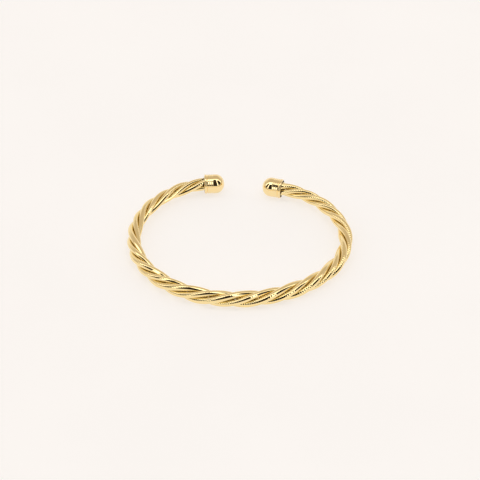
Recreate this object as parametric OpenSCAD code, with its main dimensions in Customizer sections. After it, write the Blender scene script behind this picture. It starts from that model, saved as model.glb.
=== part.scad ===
// Twisted open bangle, lying flat with its opening at the back (+Y).
// Four round strands are twisted into one rope, bent to a slightly uneven oval and
// tapered towards its ends. A hollow domed cap sits on each end.
// Millimetres. The origin is the middle of the bangle's base, on the surface it lies on.

/* [Oval] */
// Half the oval's width, to the middle of the rope
oval_half_w = 31.3; // [29:0.1:34]
// Half the oval's depth from front to back, to the middle of the rope
oval_half_d = 26.1; // [24:0.1:29]
// How far the hand-bent oval swells out of true, in three places
swell = 0.3; // [0:0.05:0.5]
// Direction of the first swell, in degrees from +X
swell_turn = 3; // [-20:1:20]

/* [Ends] */
// Where the left cap's mouth is, in degrees round the oval from the front
left_reach = 158.5; // [152:0.5:161]
// Where the right cap's mouth is, in degrees round the oval from the front
right_reach = 155.5; // [152:0.5:161]
// How far the left end is bent inward at its cap's mouth
left_tuck = 0.3; // [0:0.05:1]
// How far the right end is bent inward at its cap's mouth
right_tuck = 0.8; // [0:0.05:1]
// How far the left cap's axis turns inward from the rope's own line, in degrees
left_cap_turn = 8; // [0:1:8]
// How far the right cap's axis turns inward from the rope's own line, in degrees
right_cap_turn = 1; // [0:1:8]

/* [Rope] */
// Outer radius of the rope at the front, over the strands
rope_front_r = 2.36; // [2:0.02:2.5]
// Outer radius of the rope near its ends, over the strands
rope_end_r = 1.95; // [1.6:0.05:2]
// How much the strands spread where they enter the caps
rope_flare = 0.15; // [0:0.05:0.15]
// Length of rope in which a strand goes once round, at the front
lead_front = 28.7; // [26:0.1:40]
// Length of rope in which a strand goes once round, at the left cap
lead_left = 25; // [22:0.1:40]
// Length of rope in which a strand goes once round, at the right cap
lead_right = 22.2; // [22:0.1:40]
// Where strand_1 lies at the front, in degrees up from the rope's outer side
strand_start = 3.5; // [0:0.5:89.5]
// Clearance between neighbouring strands
strand_gap = 0.05; // [0.02:0.01:0.1]
// Length of the strands inside each cap
strand_insert = 1.9; // [1:0.1:2]

/* [End caps] */
// Length of a cap from its mouth to its tip
cap_len = 6.2; // [5.8:0.1:7]
// Outer radius of a cap's dome
cap_r = 2.95; // [2.85:0.05:3.2]
// How far the rounded collar at the mouth stands out from the cap
collar_rise = 0.05; // [0.02:0.01:0.15]
// Width of the collar along the cap
collar_w = 0.75; // [0.6:0.05:0.9]
// Width of each turned ring beside the collar
ring_w = 0.66; // [0.5:0.02:0.7]
// Thickness of the cap's wall
cap_wall = 0.5; // [0.4:0.05:0.55]

/* [Hidden] */

strand_count = 4;
strand_step = 360 / strand_count;
strand_sides = 12;
rope_rings = 120;
taper_power = 3;
tuck_run = [13, 26];
flare_run = 8;
degree_len = 0.49;
slope_step = 0.5;
swell_count = 3;
// Puts the origin in the middle of the whole bangle's box
oval_centre = [-0.36, 0.54];
round_fn = 96;
gold = [0.9, 0.74, 0.42];

ring_count = 2;
ring_depth = 0.17;
ring_gap = 0.04;
collar_r = cap_r + collar_rise;
cap_root_r = cap_r - ring_depth;
ring_zone = collar_w + ring_count * (ring_w + ring_gap);
dome_z = cap_len - cap_r;

left_end = left_reach + strand_insert / degree_len;
right_end = right_reach + strand_insert / degree_len;
front_z = rope_front_r;
back_z = collar_r;

function unit(v) = v / norm(v);
function share(value, from, run) = min(1, max(0, (value - from) / run));
function reach(t) = t < 0 ? left_reach : right_reach;

// The rope's middle line. t is the place round the oval in degrees from the front,
// below 0 on the left side and above 0 on the right.
function tuck(t) =
    let (amount = t < 0 ? left_tuck : right_tuck, run = t < 0 ? tuck_run[0] : tuck_run[1])
    amount * pow(max(0, abs(t) - reach(t) + run) / run, 2);
function oval_point(t) =
    let (a = t - 90, out = unit([cos(a) / oval_half_w, sin(a) / oval_half_d]))
    oval_centre + [oval_half_w * cos(a), oval_half_d * sin(a)]
    + out * (swell * cos(swell_count * (a - swell_turn)) - tuck(t));
// The line rises from the front, where the rope rests, to the back, where the caps rest.
function middle(t) =
    let (
        p = oval_point(t),
        front_y = oval_point(0).y,
        rise = (p.y - front_y) / (oval_point(left_reach).y - front_y)
    )
    [p.x, p.y, front_z + rise * (back_z - front_z)];
function along(t) = unit(middle(t + slope_step) - middle(t - slope_step));
function outward(t) = unit(cross(along(t), [0, 0, 1]));
function upward(t) = cross(outward(t), along(t));

function rope_r(t) =
    rope_end_r + (rope_front_r - rope_end_r) * pow(cos(t / 2), taper_power)
    + rope_flare * pow(share(abs(t), reach(t) - flare_run, flare_run), 2);
function lead(t) =
    lead_front + ((t < 0 ? lead_left : lead_right) - lead_front) * min(1, abs(t) / reach(t));

// Places of the strands' rings, and how far the rope has twisted at each one
ring_t = [for (i = [0:rope_rings]) -left_end + (left_end + right_end) * i / rope_rings];
ring_turn = [for (i = 0, turn = 0; i <= rope_rings; i = i + 1,
    turn = turn + (i > rope_rings ? 0
        : 360 * norm(middle(ring_t[i]) - middle(ring_t[i - 1])) / lead(ring_t[i]))) turn];
front_turn = lookup(0, [for (i = [0:rope_rings]) [ring_t[i], ring_turn[i]]]);

// A strand's radius over its distance from the rope's middle. Neighbours just clear each
// other, and lie a little closer than in a straight bundle because they slant.
straight_share = sin(180 / strand_count);
function lay_angle(t) = atan(2 * PI * rope_r(t) / (1 + straight_share) / lead(t));
function strand_share(t) = straight_share * cos(lay_angle(t));
function strand_off(t) = (rope_r(t) + strand_gap / 2) / (1 + strand_share(t));
function strand_r(t) = rope_r(t) - strand_off(t);

function strand_side(index, i) =
    let (t = ring_t[i], a = strand_start + strand_step * (index - 1) + ring_turn[i] - front_turn)
    cos(a) * outward(t) + sin(a) * upward(t);
function strand_middle(index, i) = middle(ring_t[i]) + strand_off(ring_t[i]) * strand_side(index, i);

// One strand: a closed tube swept along its helix round the rope's middle line.
module strand(index) {
    path = [for (i = [0:rope_rings]) strand_middle(index, i)];
    points = [for (i = [0:rope_rings])
        let (
            forward = unit(path[min(i + 1, rope_rings)] - path[max(i - 1, 0)]),
            side = strand_side(index, i),
            radial = unit(side - (side * forward) * forward),
            across = cross(forward, radial)
        )
        for (k = [0:strand_sides - 1])
            let (a = 360 * k / strand_sides)
            path[i] + strand_r(ring_t[i]) * (cos(a) * radial + sin(a) * across)];
    walls = [for (i = [0:rope_rings - 1], k = [0:strand_sides - 1])
        let (
            near = i * strand_sides,
            far = near + strand_sides,
            next = (k + 1) % strand_sides
        )
        each [[near + k, far + k, far + next], [near + k, far + next, near + next]]];
    first_end = [for (k = [0:strand_sides - 1]) k];
    last_end = [for (k = [strand_sides - 1:-1:0]) rope_rings * strand_sides + k];
    polyhedron(points, concat(walls, [first_end, last_end]), convexity = 10);
}

// Half of a cap's section: the root under the rings, the body and the dome,
// the round collar and rings, less the bore that the strands go into.
module cap_profile() {
    bore_r = cap_r - cap_wall;
    difference() {
        union() {
            square([cap_root_r, ring_zone]);
            translate([0, ring_zone]) square([cap_r, dome_z - ring_zone]);
            translate([0, dome_z]) intersection() {
                circle(cap_r, $fn = round_fn);
                square(cap_r);
            }
            translate([collar_r - collar_w / 2, collar_w / 2]) circle(collar_w / 2, $fn = round_fn);
            for (i = [0:ring_count - 1])
                translate([cap_r - ring_w / 2, collar_w + ring_gap + ring_w / 2 + i * (ring_w + ring_gap)])
                    circle(ring_w / 2, $fn = round_fn);
        }
        square([bore_r, dome_z]);
        translate([0, dome_z]) circle(bore_r, $fn = round_fn);
    }
}

module end_cap(t, turn) {
    toward_tip = sign(t) * along(t);
    direction = atan2(toward_tip.y, toward_tip.x) + sign(t) * turn;
    translate(middle(t)) rotate([0, 90 - asin(toward_tip.z), direction])
        rotate_extrude($fn = round_fn) cap_profile();
}

module strand_1() { color(gold) strand(1); }
module strand_2() { color(gold) strand(2); }
module strand_3() { color(gold) strand(3); }
module strand_4() { color(gold) strand(4); }
module end_cap_left() { color(gold) end_cap(-left_reach, left_cap_turn); }
module end_cap_right() { color(gold) end_cap(right_reach, right_cap_turn); }

strand_1();
strand_2();
strand_3();
strand_4();
end_cap_left();
end_cap_right();
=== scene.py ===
import math
import bpy
import numpy as np
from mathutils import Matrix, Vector


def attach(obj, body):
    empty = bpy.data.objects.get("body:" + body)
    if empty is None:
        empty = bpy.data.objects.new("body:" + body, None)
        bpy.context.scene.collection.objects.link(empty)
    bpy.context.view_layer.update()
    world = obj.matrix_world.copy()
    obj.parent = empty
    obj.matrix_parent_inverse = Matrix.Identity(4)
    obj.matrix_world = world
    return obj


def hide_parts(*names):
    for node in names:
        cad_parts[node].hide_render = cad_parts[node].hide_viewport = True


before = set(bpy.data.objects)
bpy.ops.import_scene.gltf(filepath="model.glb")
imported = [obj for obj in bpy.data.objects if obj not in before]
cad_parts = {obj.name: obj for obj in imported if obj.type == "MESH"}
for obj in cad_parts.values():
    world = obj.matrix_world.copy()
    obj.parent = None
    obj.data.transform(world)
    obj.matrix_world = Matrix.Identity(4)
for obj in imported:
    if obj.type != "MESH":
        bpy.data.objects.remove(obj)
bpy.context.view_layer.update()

bl_info = {
    "name": "Twisted bangle",
    "version": (1, 0, 0),
    "blender": (4, 5, 0),
    "location": "3D View > Sidebar > Bangle",
    "description": "Makes an open bangle of four reeded gold strands with domed end caps",
    "category": "Add Mesh",
}

# Counts
STRANDS = 4
CAP_RINGS = 3        # turned rings beside each cap's collar
SWELLS = 3           # places where the oval swells out of true
SOLID_RINGS = 120    # rings along each CAD strand, between which its twist is straight
COARSE_STEPS = 4000  # steps in which a strand's length is measured
STRAND_SIDES = 36    # points round a strand
LINE_RINGS = 7       # rings of points across each line cut between two reeds
CAP_SIDES = 96       # points round a cap
DOME_RINGS = 40      # rings of points from a dome's tip to its foot
BODY_RINGS = 6       # rings of points down a cap's plain body
RING_STEPS = 20      # rings of points along each turned ring
COLLAR_RINGS = 20    # rings of points over a cap's collar
BORE_RINGS = 12      # rings of points over the bore's inner dome

# Shape constants, in metres and radians
TAU = 2 * math.pi
OVAL_MIDDLE = (-0.00036, 0.00054)  # puts the origin in the middle of the bangle's box
DEGREE_LENGTH = 0.00049            # rope length for one degree round the oval, near its ends
SLOPE_STEP = math.radians(0.5)     # step over which the rope's direction is measured
FLARE_RUN = math.radians(8)        # stretch over which the strands spread at a cap
TAPER_POWER = 3                    # how quickly the rope thins away from the front
RING_SLOPE = 0.8                   # share of a turned ring over which it widens
COLLAR_ARC = (68, -84)             # the collar's round edge, in degrees from the radius
MOUTH_BEVEL = 0.00012              # bevel at the edge of a cap's bore

# Features a metre of each material's noise
STRAND_BLOTCHES, STRAND_GRAIN = 900, 9000
CAP_BLOTCHES, CAP_GRAIN = 700, 8000
TABLE_CLOUDS, TABLE_GRAIN = 25, 4000
DRAWN_SCALE, DRAWN_STRETCH = 40, (1, 12, 1)  # over a strand's round and length

# Relief and marks in the materials, in metres
DRAWN_RELIEF = 0.0000004           # height of the lines drawn along a strand
TURNED_RELIEF = 0.0000002          # height of the lines turned on a cap
TURNED_PITCH = 0.00009             # distance from one turned line to the next
TURNED_ZONE = (0.0030, 0.0024)     # height over the mouth where the turned lines fade in
INSIDE_LIMIT = 0.00003             # the cap's UV map holds less than this inside the bore
TABLE_RELIEF = 0.000003            # height of the table's grain

# Where the marks in the materials fade in
GROOVE_START = (0.2, -0.45)        # cosine of the angle from a strand's outward side
BLOTCH_START = (0.5, 0.8)          # value of the noise, here and in the next two lines
STRAND_GRAIN_START, CAP_GRAIN_START = (0.35, 0.75), (0.4, 0.8)
CLOUD_START = (0.3, 0.7)

# How strong the marks are
STRAND_BLOTCH_SHARE, CAP_BLOTCH_SHARE = 0.12, 0.06         # share of deep gold in a blotch
MOUTH_SHARE = 0.06                                         # and near a cap's mouth
GROOVE_ROUGHNESS, BORE_ROUGHNESS = 0.12, 0.4               # roughness added in grooves and bores
STRAND_GRAIN_ROUGHNESS, CAP_GRAIN_ROUGHNESS = 0.05, 0.03   # roughness added by the grain
LACQUER_ROUGHNESS, LACQUER_IOR = 0.03, 1.5
CLOUD_SHADE = (0.985, 1.0)         # brightness of the table's darkest and brightest clouds

# The light tent, in degrees. Turn is to the right of the camera's side, and an opening's third
# number is the width of its soft edge.
WALLS_END = (math.radians(20), math.radians(34))     # height where the low walls fade out
PANELS_START = (math.radians(14), math.radians(20))  # height where the panels fade in
PANELS_BACK = (0.20, 0.06)                           # direction's y where the panels fade in
UPPER_SIDES, LOWER_SIDES = (0.2, 0.8), (0.5, 0.9)    # direction's x where the sides fade in
FRONT_TURN, FRONT_HEIGHT = (-36, 27, 3), (12, 88, 4)  # dark opening at the camera
LEFT_TURN, RIGHT_TURN = (-82, -54, 4), (46, 86, 4)    # and at the sides
SIDE_HEIGHT = (14, 62, 5)

# The stage
PICTURE_PIXELS = 480
PIXEL_LENGTH = 0.000296            # length that a pixel shows at the camera's aim
SENSOR_WIDTH = 36
CLIP_RANGE = (0.01, 10)
FLOOR_HALF_WIDTH = 2.0


# Sizes and colours that a user may change

def length(name, description, default):
    """A property that holds a length in metres."""
    return bpy.props.FloatProperty(name=name, description=description, default=default,
                                   unit="LENGTH", precision=5, min=0)


def angle(name, description, degrees):
    """A property that holds an angle, with its default given in degrees."""
    return bpy.props.FloatProperty(name=name, description=description, unit="ROTATION",
                                   default=math.radians(degrees))


def colour(name, description, default):
    """A property that holds a colour as linear red, green and blue."""
    return bpy.props.FloatVectorProperty(name=name, description=description, subtype="COLOR",
                                         default=default, min=0, max=1)


def number(name, description, default):
    """A property that holds a plain number of zero or more."""
    return bpy.props.FloatProperty(name=name, description=description, default=default, min=0)


class OvalSizes(bpy.types.PropertyGroup):
    """The line that the middle of the rope follows."""
    half_width: length("Half width", "Half the oval's width, to the middle of the rope", 0.0313)
    half_depth: length("Half depth", "Half the oval's depth, to the middle of the rope", 0.0261)
    swell: length("Swell", "How far the hand-bent oval swells out of true", 0.0003)
    swell_turn: angle("Swell turn", "Direction of the first swell, from +X", 3)
    left_reach: angle("Left reach", "Where the left cap's mouth is, from the front", 158.5)
    right_reach: angle("Right reach", "Where the right cap's mouth is, from the front", 155.5)
    left_tuck: length("Left tuck", "How far the left end is bent inward", 0.0003)
    right_tuck: length("Right tuck", "How far the right end is bent inward", 0.0008)
    left_tuck_run: angle("Left tuck run", "Stretch over which the left end is bent", 13)
    right_tuck_run: angle("Right tuck run", "Stretch over which the right end is bent", 26)


class RopeSizes(bpy.types.PropertyGroup):
    """The four strands and how they are twisted."""
    front_radius: length("Front radius", "Outer radius of the rope at the front", 0.00236)
    end_radius: length("End radius", "Outer radius of the rope near its ends", 0.00195)
    left_flare: length("Left flare", "How much the strands spread at the left cap", 0.0001)
    right_flare: length("Right flare", "How much the strands spread at the right cap", 0.0004)
    lead_front: length("Lead at the front", "Rope length for one turn, at the front", 0.0287)
    lead_left: length("Lead at the left", "Rope length for one turn, at the left cap", 0.025)
    lead_right: length("Lead at the right", "Rope length for one turn, at the right cap", 0.0222)
    start: angle("Start", "Where the first strand lies at the front, up from outside", 3.5)
    gap: length("Gap", "Clearance between neighbouring strands", 0.00005)
    insert: length("Insert", "Length of the strands inside each cap", 0.0019)
    uneven: length("Uneven", "How much thicker every other strand is than the mean", 0.00006)
    reed_pitch: length("Reed pitch", "Distance from one reed to the next", 0.00064)
    reed_depth: length("Reed depth", "Depth of the lines cut between the reeds", 0.000014)
    reed_bias: number("Reed bias", "Share by which the lines are deeper on one flank and "
                      "shallower on the other", 1.0)
    reed_line: length("Reed line", "Width of the lines cut between the reeds", 0.00056)


class CapSizes(bpy.types.PropertyGroup):
    """The two end caps."""
    length: length("Length", "Length of a cap from its mouth to its tip", 0.0062)
    radius: length("Radius", "Outer radius of a cap's body", 0.00295)
    dome: length("Dome", "Length of the rounded tip, a little less than the radius", 0.00265)
    collar_rise: length("Collar rise", "How far the collar stands out from the cap", 0.00005)
    collar_width: length("Collar width", "Width of the collar along the cap", 0.001)
    ring_width: length("Ring width", "Width of each turned ring beside the collar", 0.00056)
    ring_depth: length("Ring depth", "Height of the step between the rings", 0.00008)
    wall: length("Wall", "Thickness of the cap's wall", 0.0005)
    left_turn: angle("Left turn", "How far the left cap turns in from the rope's line", 8)
    right_turn: angle("Right turn", "How far the right cap turns in from the rope's line", 1)


class Finish(bpy.types.PropertyGroup):
    """Colours and polish of the metal."""
    gold: colour("Gold", "Colour of the polished gold", (1.0, 0.80, 0.40))
    # Painted shade: this darker gold is mixed in between the strands, where shade falls; it also
    # colours the random blotches and the zone near each cap's mouth.
    deep_gold_and_groove_shade: colour("Deep gold", "Colour of the gold deep between the strands",
                      (0.90, 0.74, 0.36))
    cap_gold: colour("Cap gold", "Colour of the caps' gold", (1.0, 0.79, 0.41))
    # Painted shade: this near-black colour is laid over the inside of each cap's bore, where shade
    # falls.
    bore_shade: colour("Bore", "Colour of the dull metal inside the caps", (0.11, 0.065, 0.025))
    strand_roughness: number("Strand roughness", "Roughness of the strands' polish", 0.04)
    cap_roughness: number("Cap roughness", "Roughness of the caps' polish", 0.03)
    lacquer: number("Lacquer", "Strength of the clear lacquer's shine", 0.5)


class Studio(bpy.types.PropertyGroup):
    """The floor, the light and the camera."""
    backdrop: colour("Backdrop", "Colour of the table and of the backdrop", (0.956, 0.913, 0.88))
    table: colour("Table", "Colour of the table's diffuse surface", (0.45, 0.45, 0.45))
    glow: number("Glow", "Share of the table's light that comes from below", 0.68)
    panels: colour("Panels", "Colour of the tent's bright panels", (1.0, 0.985, 0.96))
    bright: number("Bright", "Brightness of the tent's panels", 1.9)
    back: colour("Back", "Colour of the tent's dim, warm back", (0.60, 0.52, 0.45))
    sides: colour("Sides", "Colour of the tent's sides", (0.62, 0.56, 0.51))
    walls: colour("Walls", "Colour of the tent's walls near the table", (0.93, 0.89, 0.85))
    openings: colour("Openings", "Colour of the dark openings between the panels",
                     (0.03, 0.024, 0.018))
    camera_height: angle("Camera height", "How far the camera looks down", 41.3)
    camera_turn: angle("Camera turn", "How far the camera stands to the right of the front", 1.94)
    camera_distance: length("Camera distance", "Distance from the camera to its aim", 0.437)
    frame_width: length("Frame width", "Width that the picture shows at the aim",
                        PIXEL_LENGTH * PICTURE_PIXELS)
    aim: bpy.props.FloatVectorProperty(name="Aim", description="Point that the camera looks at",
                                       default=(0.00005, 0.00005, 0.00211), subtype="XYZ",
                                       unit="LENGTH")


# The rope's middle line and its strands

def unit(v):
    """Vectors divided by their own lengths."""
    return v / np.linalg.norm(v, axis=-1, keepdims=True)


def turned(place, left, right):
    """left where the place lies left of the front (below 0), otherwise right."""
    return np.where(place < 0, left, right)


def oval_point(place, oval):
    """Points of the oval for places in radians from the front, as x and y.

    An ellipse, moved along its outward normal by swell * cos(3 (a - turn)), and inward by
    tuck * (stretch inside the tuck's run / run) squared near each end. Here a is the place less
    90 degrees.
    """
    a = place - math.pi / 2
    on_ellipse = np.stack([oval.half_width * np.cos(a), oval.half_depth * np.sin(a)], -1)
    out = unit(np.stack([np.cos(a) / oval.half_width, np.sin(a) / oval.half_depth], -1))
    reach = turned(place, oval.left_reach, oval.right_reach)
    run = turned(place, oval.left_tuck_run, oval.right_tuck_run)
    amount = turned(place, oval.left_tuck, oval.right_tuck)
    tuck = amount * (np.maximum(0, np.abs(place) - reach + run) / run) ** 2
    swell = oval.swell * np.cos(SWELLS * (a - oval.swell_turn))
    return np.array(OVAL_MIDDLE) + on_ellipse + out * (swell - tuck)[..., None]


def rope_middle(place, oval, rope, cap):
    """Points of the rope's middle line: the oval, rising evenly with y from the rope's radius
    at the front to the collar's radius at the left cap's mouth."""
    xy = oval_point(place, oval)
    front = oval_point(np.zeros(1), oval)[0, 1]
    back = oval_point(np.array([oval.left_reach]), oval)[0, 1]
    rise = (xy[..., 1] - front) / (back - front)
    low, high = rope.front_radius, cap.radius + cap.collar_rise
    return np.concatenate([xy, (low + rise * (high - low))[..., None]], -1)


def rope_frame(place, oval, rope, cap):
    """The rope's middle, its direction, its outward and its upward side at each place. The
    direction is the difference of two points of the middle line, divided by its length."""
    along = unit(rope_middle(place + SLOPE_STEP, oval, rope, cap)
                 - rope_middle(place - SLOPE_STEP, oval, rope, cap))
    outward = unit(np.cross(along, [0, 0, 1]))
    return rope_middle(place, oval, rope, cap), along, outward, np.cross(outward, along)


def rope_radius(place, oval, rope):
    """End radius plus the rest times the cube of cos(place / 2), plus near each cap its flare
    times the square of the share of the flare's run that is passed."""
    reach = turned(place, oval.left_reach, oval.right_reach)
    near_cap = np.clip((np.abs(place) - reach + FLARE_RUN) / FLARE_RUN, 0, 1)
    flare = turned(place, rope.left_flare, rope.right_flare)
    taper = np.cos(place / 2) ** TAPER_POWER
    return (rope.end_radius + (rope.front_radius - rope.end_radius) * taper
            + flare * near_cap ** 2)


def rope_lead(place, oval, rope):
    """Rope length for one turn, changing evenly from the front to each cap."""
    reach = turned(place, oval.left_reach, oval.right_reach)
    end = turned(place, rope.lead_left, rope.lead_right)
    return rope.lead_front + (end - rope.lead_front) * np.minimum(1, np.abs(place) / reach)


def strand_ends(oval, rope):
    """The first and last place of the strands, inside the left and the right cap."""
    inside = math.radians(rope.insert / DEGREE_LENGTH)
    return -oval.left_reach - inside, oval.right_reach + inside


def rope_turn(place, oval, rope, cap):
    """How far the rope has twisted at each place, counted from the front: the sum of
    360 degrees * length / lead over the same rings that the solids have."""
    rings = np.linspace(*strand_ends(oval, rope), SOLID_RINGS + 1)
    middle = rope_middle(rings, oval, rope, cap)
    steps = np.linalg.norm(np.diff(middle, axis=0), axis=1)
    turn = np.concatenate([[0], np.cumsum(TAU * steps / rope_lead(rings[1:], oval, rope))])
    return np.interp(place, rings, turn - np.interp(0, rings, turn))


def strand_sizes(place, oval, rope):
    """A strand's distance from the rope's middle and its own radius, so that neighbours in the
    slanting bundle just clear each other: the distance is (rope radius + gap / 2) / (1 + lean),
    where lean is sin(180 degrees / strands) times the cosine of the strand's slant."""
    radius = rope_radius(place, oval, rope)
    straight = math.sin(math.pi / STRANDS)
    slant = np.arctan(TAU * radius / (1 + straight) / rope_lead(place, oval, rope))
    lean = straight * np.cos(slant)
    offset = (radius + rope.gap / 2) / (1 + lean)
    return offset, radius - offset


def strand_line(index, place, oval, rope, cap):
    """Points of a strand's middle line, and the direction from the rope's middle to each:
    a helix whose angle is start + 90 degrees * index + the rope's turn."""
    middle, _, outward, upward = rope_frame(place, oval, rope, cap)
    a = (rope.start + index * TAU / STRANDS + rope_turn(place, oval, rope, cap))[:, None]
    side = np.cos(a) * outward + np.sin(a) * upward
    return middle + strand_sizes(place, oval, rope)[0][:, None] * side, side


def reeded_strand(index, oval, rope, cap):
    """Rings of points of one strand, (rings, sides, 3), with each ring's length along it.

    A circle is carried along the strand's line. Its radius is the strand's own, more by uneven on
    every other strand and less by it on the rest. In the line cut between two reeds it shrinks by
    depth * (1 - bias * sin b) * (1 + cos(2 pi x / line width)) / 2, where x is the length from
    the line's middle and b is the angle round the strand from its outward side.
    """
    coarse = np.linspace(*strand_ends(oval, rope), COARSE_STEPS + 1)
    line, _ = strand_line(index, coarse, oval, rope, cap)
    lengths = np.concatenate([[0], np.cumsum(np.linalg.norm(np.diff(line, axis=0), axis=1))])
    reeds = int(lengths[-1] / rope.reed_pitch)
    pitch = lengths[-1] / reeds
    x = np.concatenate([[-pitch / 2], rope.reed_line * np.linspace(-0.5, 0.5, LINE_RINGS)])
    s = np.append(((np.arange(reeds)[:, None] + 0.5) * pitch + x).ravel(), lengths[-1])
    cut = (1 + np.cos(TAU * x / rope.reed_line)) / 2 * (np.abs(x) < pitch / 2)
    low = np.append(np.tile(cut, reeds), 0)
    place = np.interp(s, lengths, coarse)
    line, side = strand_line(index, place, oval, rope, cap)
    forward = unit(np.gradient(line, axis=0))
    radial = unit(side - np.sum(side * forward, -1, keepdims=True) * forward)
    across = np.cross(forward, radial)
    thicker = rope.uneven * (2 * (index % 2) - 1)
    b = (np.arange(STRAND_SIDES) * TAU / STRAND_SIDES)[:, None]
    depth = rope.reed_depth * (1 - rope.reed_bias * np.sin(b)) * low[:, None, None]
    radius = (strand_sizes(place, oval, rope)[1] + thicker)[:, None, None] - depth
    around = np.cos(b) * radial[:, None] + np.sin(b) * across[:, None]
    return line[:, None] + radius * around, s


# Meshes

def tube_mesh(name, rings, along, poles):
    """A mesh object of a grid of points, (rings, sides, 3), closed round its sides.

    Ring i's side k joins ring i + 1 and side k + 1 as one square face, and each end closes with a
    fan of triangles to its pole. The sides are numbered right-handed about the way from ring to
    ring, so the faces point outward. The UV map holds the share of the way round and the length.
    """
    n, m = rings.shape[:2]
    points = np.concatenate([rings.reshape(-1, 3), np.asarray(poles).reshape(2, 3)])
    i, k = np.meshgrid(np.arange(n - 1), np.arange(m), indexing="ij")
    near, far = i * m, (i + 1) * m
    k_next = (k + 1) % m
    squares = np.stack([near + k, near + k_next, far + k_next, far + k], -1).reshape(-1, 4)
    side = np.arange(m)
    side_next = (side + 1) % m
    first = np.stack([np.full(m, n * m), side_next, side], -1)
    last = np.stack([np.full(m, n * m + 1), (n - 1) * m + side, (n - 1) * m + side_next], -1)
    corners = np.concatenate([squares.ravel(), first.ravel(), last.ravel()])
    sizes = np.concatenate([np.full(len(squares), 4), np.full(2 * m, 3)])
    starts = np.concatenate([[0], np.cumsum(sizes)[:-1]])

    round_share = np.stack([k, k + 1, k + 1, k], -1).reshape(-1) / m
    down = np.stack([along[i], along[i], along[i + 1], along[i + 1]], -1).reshape(-1)
    half = np.stack([side + 0.5, side + 1, side], -1).reshape(-1) / m
    half_back = np.stack([side + 0.5, side, side + 1], -1).reshape(-1) / m
    u = np.concatenate([round_share, half, half_back])
    v = np.concatenate([down, np.full(3 * m, along[0]), np.full(3 * m, along[-1])])

    mesh = bpy.data.meshes.new(name)
    mesh.vertices.add(len(points))
    mesh.vertices.foreach_set("co", points.astype(np.float32).ravel())
    mesh.loops.add(len(corners))
    mesh.loops.foreach_set("vertex_index", corners.astype(np.int32))
    mesh.polygons.add(len(sizes))
    mesh.polygons.foreach_set("loop_start", starts.astype(np.int32))
    mesh.polygons.foreach_set("loop_total", sizes.astype(np.int32))
    mesh.update(calc_edges=True)
    mesh.polygons.foreach_set("use_smooth", np.ones(len(sizes), bool))
    layer = mesh.uv_layers.new(name="Surface")
    layer.data.foreach_set("uv", np.stack([u, v], -1).astype(np.float32).ravel())
    mesh.validate()
    piece = bpy.data.objects.new(name, mesh)
    bpy.context.collection.objects.link(piece)
    return piece


def arc(centre, radius, start, stop, count):
    """Points of a circle's arc in the profile plane, from one angle to another in degrees."""
    a = np.radians(np.linspace(start, stop, count))
    return np.stack([centre[0] + radius * np.cos(a), centre[1] + radius * np.sin(a)], -1)


def cap_profile(cap):
    """Half section of a cap as (distance from the axis, distance from the mouth): from the tip
    over the dome, a quarter of an ellipse, down the body, over the turned rings and the round
    collar, and back up the bore to the inner tip. Each ring widens evenly towards the mouth and
    then steps back."""
    shoulder = cap.length - cap.dome
    bore = cap.radius - cap.wall
    edge = cap.collar_width / 2
    a = np.radians(np.linspace(90, 0, DOME_RINGS))[1:, None]
    dome = np.concatenate([cap.radius * np.cos(a), shoulder + cap.dome * np.sin(a)], -1)
    x = np.linspace(0, CAP_RINGS, RING_STEPS * CAP_RINGS + 1)[1:]
    low = cap.ring_depth * (1 - np.interp(x % 1, [0, RING_SLOPE, 1], [0, 1, 0]))
    ring_top = cap.collar_width + CAP_RINGS * cap.ring_width
    body = np.linspace(shoulder, ring_top, BODY_RINGS)[1:]
    rows = [dome, np.stack([np.full_like(body, cap.radius), body], -1),
            np.stack([cap.radius - low, ring_top - cap.ring_width * x], -1),
            arc((cap.radius + cap.collar_rise - edge, edge), edge, *COLLAR_ARC, COLLAR_RINGS),
            [[bore + MOUTH_BEVEL, 0], [bore, MOUTH_BEVEL], [bore, shoulder / 2],
             [bore, shoulder]]]
    a = np.radians(np.linspace(0, 90, BORE_RINGS))[1:-1, None]
    inner = np.concatenate([bore * np.cos(a), shoulder + (cap.dome - cap.wall) * np.sin(a)], -1)
    return np.concatenate([*rows, inner])


def cap_surface(cap):
    """Rings of points of a cap about +Z with its mouth at the origin: the half section turned
    once round the axis, (r cos b, r sin b, z), each ring's height over the mouth, 0 inside, and
    the outer and inner tip. The angle b runs backward, as the outer rings run down towards the
    mouth."""
    profile = cap_profile(cap)
    b = -np.arange(CAP_SIDES) * TAU / CAP_SIDES
    r, z = profile[:, :1], profile[:, 1:]
    rings = np.stack([r * np.cos(b), r * np.sin(b), z + 0 * b[None]], -1)
    poles = np.array([[0, 0, cap.length], [0, 0, cap.length - cap.wall]])
    inside = np.arange(len(profile)) > np.argmin(profile[:, 1])
    return rings, np.where(inside, 0, profile[:, 1]), poles


def cap_placed(place, turn, points, oval, rope, cap):
    """Cap points moved to the rope's end at the place: +Z goes to the rope's outgoing
    direction, turned inward about the vertical by turn."""
    middle, along, _, _ = rope_frame(np.array([place]), oval, rope, cap)
    way = 1 if place > 0 else -1
    tip = way * along[0]
    heading = math.atan2(tip[1], tip[0]) + way * turn
    rise = math.asin(tip[2])
    z_axis = np.array([math.cos(rise) * math.cos(heading), math.cos(rise) * math.sin(heading),
                       math.sin(rise)])
    y_axis = np.array([-math.sin(heading), math.cos(heading), 0])
    x_axis = np.cross(y_axis, z_axis)
    return middle[0] + points @ np.stack([x_axis, y_axis, z_axis])


# Materials

def add(tree, kind, inputs=None, **settings):
    """A new node. inputs holds a value or a linked socket for each input, by name or number."""
    node = tree.nodes.new("ShaderNode" + kind)
    for name, value in settings.items():
        setattr(node, name, value)
    for name, value in (inputs or {}).items():
        if isinstance(value, bpy.types.NodeSocket):
            tree.links.new(value, node.inputs[name])
        else:
            node.inputs[name].default_value = value
    return node


def maths(tree, operation, *values):
    """The result of a Math node."""
    return add(tree, "Math", dict(enumerate(values)), operation=operation).outputs[0]


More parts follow.
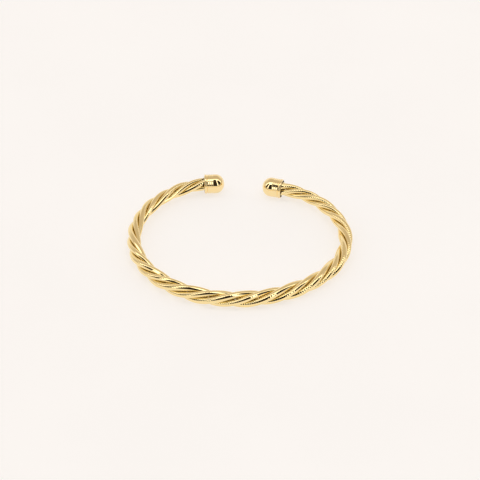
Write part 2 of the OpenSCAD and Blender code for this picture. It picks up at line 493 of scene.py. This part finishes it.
def ramp(tree, value, low, high, start=0, stop=1):
    """A smooth step from start to stop as the value goes from low to high."""
    return add(tree, "MapRange", {"Value": value, "From Min": low, "From Max": high,
                                  "To Min": start, "To Max": stop},
               interpolation_type="SMOOTHSTEP").outputs[0]


def window(tree, value, limits):
    """1 between the first two limits, falling to 0 over the third outside them, all in degrees."""
    low, high, soft = (math.radians(v) for v in limits)
    rising = ramp(tree, value, low - soft, low)
    return maths(tree, "MULTIPLY", rising, ramp(tree, value, high, high + soft, 1, 0))


def new_material(name):
    """An empty node material and its output node."""
    material = bpy.data.materials.new(name)
    material.use_nodes = True
    material.node_tree.nodes.clear()
    output = material.node_tree.nodes.new("ShaderNodeOutputMaterial")
    return material, material.node_tree, output


def mix(tree, low, high, amount):
    """A colour that goes from low to high as amount goes from 0 to 1. Each end is a triple or a
    socket."""
    ends = [end if isinstance(end, bpy.types.NodeSocket) else (*end, 1) for end in (low, high)]
    return add(tree, "Mix", {0: amount, 6: ends[0], 7: ends[1]}, data_type="RGBA").outputs[2]


def noise(tree, way, scale, stretch=(1, 1, 1), detail=2):
    """Noise from 0 to 1 over the given coordinates, scaled by scale and stretch."""
    placed = add(tree, "Mapping", {"Vector": way, "Scale": tuple(scale * v for v in stretch)})
    inputs = {"Vector": placed.outputs[0], "Scale": 1.0, "Detail": detail}
    return add(tree, "TexNoise", inputs).outputs[0]


def bump(tree, height):
    """The normal of a surface with a fine relief, from a height in metres."""
    return add(tree, "Bump", {"Height": height, "Strength": 1.0, "Distance": 1.0}).outputs[0]


def round_and_length(tree):
    """A piece's own UV map: the share of the way round and the length in metres."""
    surface = add(tree, "UVMap", uv_map="Surface").outputs[0]
    return add(tree, "SeparateXYZ", {0: surface}).outputs[:2]


def gold_shader(tree, output, base, roughness, height, lacquer):
    """Polished metal under a thin clear lacquer, with a fine relief from a height in metres."""
    shader = add(tree, "BsdfPrincipled", {
        "Metallic": 1.0, "Base Color": base, "Roughness": roughness, "Normal": bump(tree, height),
        "Coat Weight": lacquer, "Coat Roughness": LACQUER_ROUGHNESS, "Coat IOR": LACQUER_IOR})
    tree.links.new(shader.outputs[0], output.inputs[0])


def strand_gold(finish):
    """Gold of the strands: polished on the crowns, with painted shade between the strands in a
    deeper gold where they are also duller, with soft blotches and fine lines drawn along each
    strand."""
    material, tree, output = new_material("strand_gold")
    u, v = round_and_length(tree)
    outward = maths(tree, "COSINE", maths(tree, "MULTIPLY", u, TAU))
    groove_shade = ramp(tree, outward, *GROOVE_START)
    place = add(tree, "TexCoord").outputs["Object"]
    blotch = noise(tree, place, STRAND_BLOTCHES)
    grain = noise(tree, place, STRAND_GRAIN)
    around = add(tree, "CombineXYZ", {0: outward, 1: v}).outputs[0]
    drawn = noise(tree, around, DRAWN_SCALE, DRAWN_STRETCH, detail=3)
    # Painted shade: a darker gold between the strands, where shade falls.
    base = mix(tree, finish.gold, finish.deep_gold_and_groove_shade, groove_shade)
    blotches = ramp(tree, blotch, *BLOTCH_START, 0, STRAND_BLOTCH_SHARE)
    base = mix(tree, base, finish.deep_gold_and_groove_shade, blotches)
    rough = ramp(tree, grain, *STRAND_GRAIN_START, 0, STRAND_GRAIN_ROUGHNESS)
    rough = maths(tree, "MULTIPLY_ADD", groove_shade, GROOVE_ROUGHNESS, rough)
    rough = maths(tree, "ADD", rough, finish.strand_roughness)
    height = maths(tree, "MULTIPLY", drawn, DRAWN_RELIEF)
    gold_shader(tree, output, base, rough, height, finish.lacquer)
    return material


def cap_gold(finish):
    """Gold of the caps: mirror polished over the dome, with fine turned lines near the mouth, and
    duller metal inside the bore, with painted shade there in a near-black colour."""
    material, tree, output = new_material("cap_gold")
    _, v = round_and_length(tree)
    place = add(tree, "TexCoord").outputs["Object"]
    blotch = noise(tree, place, CAP_BLOTCHES)
    grain = noise(tree, place, CAP_GRAIN)
    inside = maths(tree, "LESS_THAN", v, INSIDE_LIMIT)
    near_mouth = ramp(tree, v, *TURNED_ZONE)
    lines = maths(tree, "SINE", maths(tree, "MULTIPLY", v, TAU / TURNED_PITCH))
    blotches = ramp(tree, blotch, *BLOTCH_START, 0, CAP_BLOTCH_SHARE)
    base = mix(tree, finish.cap_gold, finish.deep_gold_and_groove_shade, blotches)
    base = mix(tree, base, finish.deep_gold_and_groove_shade, maths(tree, "MULTIPLY", near_mouth, MOUTH_SHARE))
    # Painted shade: the inside of the bore is coloured near-black.
    base = mix(tree, base, finish.bore_shade, inside)
    rough = ramp(tree, grain, *CAP_GRAIN_START, 0, CAP_GRAIN_ROUGHNESS)
    rough = maths(tree, "MULTIPLY_ADD", inside, BORE_ROUGHNESS, rough)
    rough = maths(tree, "ADD", rough, finish.cap_roughness)
    height = maths(tree, "MULTIPLY", maths(tree, "MULTIPLY", lines, near_mouth), TURNED_RELIEF)
    gold_shader(tree, output, base, rough, height, finish.lacquer)
    return material


def tent_world(studio):
    """The light tent, as colour over direction: bright panels over the front half, with dark
    openings at the camera and at both sides, a dim warm back, and pale walls near the floor."""
    world = bpy.data.worlds.new("light_tent")
    world.use_nodes = True
    tree = world.node_tree
    tree.nodes.clear()
    way = add(tree, "TexCoord").outputs["Generated"]
    x, y, z = add(tree, "SeparateXYZ", {0: way}).outputs
    turn = maths(tree, "ARCTAN2", x, maths(tree, "MULTIPLY", y, -1))
    height = maths(tree, "ARCSINE", z)
    sideways = maths(tree, "ABSOLUTE", x)

    upper = mix(tree, studio.back, studio.sides, ramp(tree, sideways, *UPPER_SIDES))
    lower = mix(tree, studio.walls, studio.sides, ramp(tree, sideways, *LOWER_SIDES))
    light = mix(tree, lower, upper, ramp(tree, height, *WALLS_END))
    panels = maths(tree, "MULTIPLY", ramp(tree, y, *PANELS_BACK),
                   ramp(tree, height, *PANELS_START))
    light = mix(tree, light, [studio.bright * c for c in studio.panels], panels)
    front = maths(tree, "MULTIPLY", window(tree, turn, FRONT_TURN),
                  window(tree, height, FRONT_HEIGHT))
    gaps = maths(tree, "MAXIMUM", window(tree, turn, LEFT_TURN), window(tree, turn, RIGHT_TURN))
    gaps = maths(tree, "MULTIPLY", gaps, window(tree, height, SIDE_HEIGHT))
    light = mix(tree, light, studio.openings, maths(tree, "MAXIMUM", front, gaps))
    lit = add(tree, "Background", {"Color": light})
    seen = add(tree, "LightPath").outputs["Is Camera Ray"]
    plain = add(tree, "Background", {"Color": (*studio.backdrop, 1)})
    mixed = add(tree, "MixShader", {0: seen, 1: lit.outputs[0], 2: plain.outputs[0]})
    add(tree, "OutputWorld", {0: mixed.outputs[0]})
    return world


def table_material(studio):
    """A pale acrylic light table: a soft glow from below with a little diffuse white over it,
    with very faint clouds and a fine grain."""
    material, tree, output = new_material("light_table")
    place = add(tree, "TexCoord").outputs["Object"]
    cloud = ramp(tree, noise(tree, place, TABLE_CLOUDS), *CLOUD_START, *CLOUD_SHADE)
    grain = noise(tree, place, TABLE_GRAIN)
    shade = maths(tree, "MULTIPLY", cloud, studio.glow)
    relief = bump(tree, maths(tree, "MULTIPLY", grain, TABLE_RELIEF))
    diffuse = add(tree, "BsdfDiffuse", {"Color": (*studio.table, 1), "Normal": relief})
    glow = add(tree, "Emission", {"Color": (*studio.backdrop, 1), "Strength": shade})
    both = add(tree, "AddShader", {0: diffuse.outputs[0], 1: glow.outputs[0]})
    tree.links.new(both.outputs[0], output.inputs[0])
    return material


# Operators

class BANGLE_OT_strands(bpy.types.Operator):
    """Makes the four reeded strands over their solids"""
    bl_idname = "bangle.strands"
    bl_label = "Make the strands"

    def execute(self, context):
        scene = context.scene
        oval, rope, cap = scene.bangle_oval, scene.bangle_rope, scene.bangle_caps
        material = strand_gold(scene.bangle_finish)
        for index in range(STRANDS):
            rings, along = reeded_strand(index, oval, rope, cap)
            poles = rings[[0, -1]].mean(axis=1)
            piece = tube_mesh(f"reeded_strand_{index + 1}", rings, along, poles)
            piece.data.materials.append(material)
            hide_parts(f"strand_{index + 1}")
            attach(piece, "root")
        return {"FINISHED"}


class BANGLE_OT_caps(bpy.types.Operator):
    """Makes the two domed end caps over their solids"""
    bl_idname = "bangle.caps"
    bl_label = "Make the end caps"

    def execute(self, context):
        scene = context.scene
        oval, rope, cap = scene.bangle_oval, scene.bangle_rope, scene.bangle_caps
        material = cap_gold(scene.bangle_finish)
        for side, place, turn in (("left", -oval.left_reach, cap.left_turn),
                                  ("right", oval.right_reach, cap.right_turn)):
            rings, along, poles = cap_surface(cap)
            rings = cap_placed(place, turn, rings, oval, rope, cap)
            poles = cap_placed(place, turn, poles, oval, rope, cap)
            piece = tube_mesh(f"polished_cap_{side}", rings, along, poles)
            piece.data.materials.append(material)
            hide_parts(f"end_cap_{side}")
            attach(piece, "root")
        return {"FINISHED"}


class BANGLE_OT_stage(bpy.types.Operator):
    """Sets the pale floor, the soft studio light and the camera"""
    bl_idname = "bangle.stage"
    bl_label = "Set the stage"

    def execute(self, context):
        scene, studio = context.scene, context.scene.bangle_studio
        corners = np.array([[-1, -1, 0], [1, -1, 0], [1, 1, 0], [-1, 1, 0]]) * FLOOR_HALF_WIDTH
        mesh = bpy.data.meshes.new("floor")
        mesh.from_pydata(corners.tolist(), [], [(0, 1, 2, 3)])
        floor = bpy.data.objects.new("floor", mesh)
        context.collection.objects.link(floor)
        mesh.materials.append(table_material(studio))
        scene.world = tent_world(studio)

        aim = Vector(studio.aim)
        away = Vector((math.sin(studio.camera_turn) * math.cos(studio.camera_height),
                       -math.cos(studio.camera_turn) * math.cos(studio.camera_height),
                       math.sin(studio.camera_height)))
        lens = bpy.data.cameras.new("camera")
        lens.sensor_width = SENSOR_WIDTH
        lens.lens = lens.sensor_width * studio.camera_distance / studio.frame_width
        lens.clip_start, lens.clip_end = CLIP_RANGE
        camera = bpy.data.objects.new("camera", lens)
        context.collection.objects.link(camera)
        camera.location = aim + away * studio.camera_distance
        camera.rotation_euler = (-away).to_track_quat("-Z", "Y").to_euler()
        scene.camera = camera
        scene.view_settings.view_transform = "Standard"
        return {"FINISHED"}


class BANGLE_PT_panel(bpy.types.Panel):
    """Lists what makes the bangle"""
    bl_label = "Twisted bangle"
    bl_idname = "BANGLE_PT_panel"
    bl_space_type = "VIEW_3D"
    bl_region_type = "UI"
    bl_category = "Bangle"

    def draw(self, context):
        for operator in OPERATORS:
            self.layout.operator(operator.bl_idname)


GROUPS = {"bangle_oval": OvalSizes, "bangle_rope": RopeSizes, "bangle_caps": CapSizes,
          "bangle_finish": Finish, "bangle_studio": Studio}
OPERATORS = (BANGLE_OT_strands, BANGLE_OT_caps, BANGLE_OT_stage)


def register():
    """Registers the sizes, the operators and the panel."""
    for name, group in GROUPS.items():
        bpy.utils.register_class(group)
        setattr(bpy.types.Scene, name, bpy.props.PointerProperty(type=group))
    for kind in (*OPERATORS, BANGLE_PT_panel):
        bpy.utils.register_class(kind)


def unregister():
    """Takes back what register did."""
    for kind in (BANGLE_PT_panel, *reversed(OPERATORS)):
        bpy.utils.unregister_class(kind)
    for name, group in reversed(GROUPS.items()):
        delattr(bpy.types.Scene, name)
        bpy.utils.unregister_class(group)


def main():
    register()
    bpy.ops.bangle.strands()
    bpy.ops.bangle.caps()
    bpy.ops.bangle.stage()


if __name__ == "__main__":
    main()
